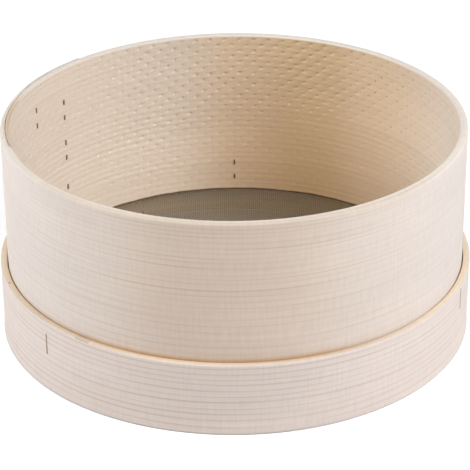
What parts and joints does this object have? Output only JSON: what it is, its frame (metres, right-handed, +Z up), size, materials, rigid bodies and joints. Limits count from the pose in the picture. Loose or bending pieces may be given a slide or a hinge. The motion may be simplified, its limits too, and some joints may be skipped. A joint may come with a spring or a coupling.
{
  "type": "tamis drum sieve",
  "caption": "Bentwood drum sieve: a round drum with fine wire cloth under it, clamped by a stapled outer hoop that stands on the table.",
  "frame": {"origin": "middle of the drum's axis at the height of the table, in the plane of the hoop's lower edge", "axes": "+Z up along the drum's axis, -Y towards the front"},
  "size_m": [0.2584, 0.2584, 0.1173],
  "materials": {
    "drum_wood": "planed pale softwood, unfinished",
    "hoop_wood": "planed pale softwood, unfinished",
    "cloth_steel": "fine woven wire, dull",
    "staple_steel": "drawn wire, dull grey"
  },
  "bodies": {
    "root": {"drum_shell": "drum_wood", "clamp_hoop": "hoop_wood", "wire_cloth": "cloth_steel", "drum_lap_staples": "staple_steel", "hoop_lap_staples": "staple_steel", "clamp_staples": "staple_steel"}
  },
  "joints": []
}
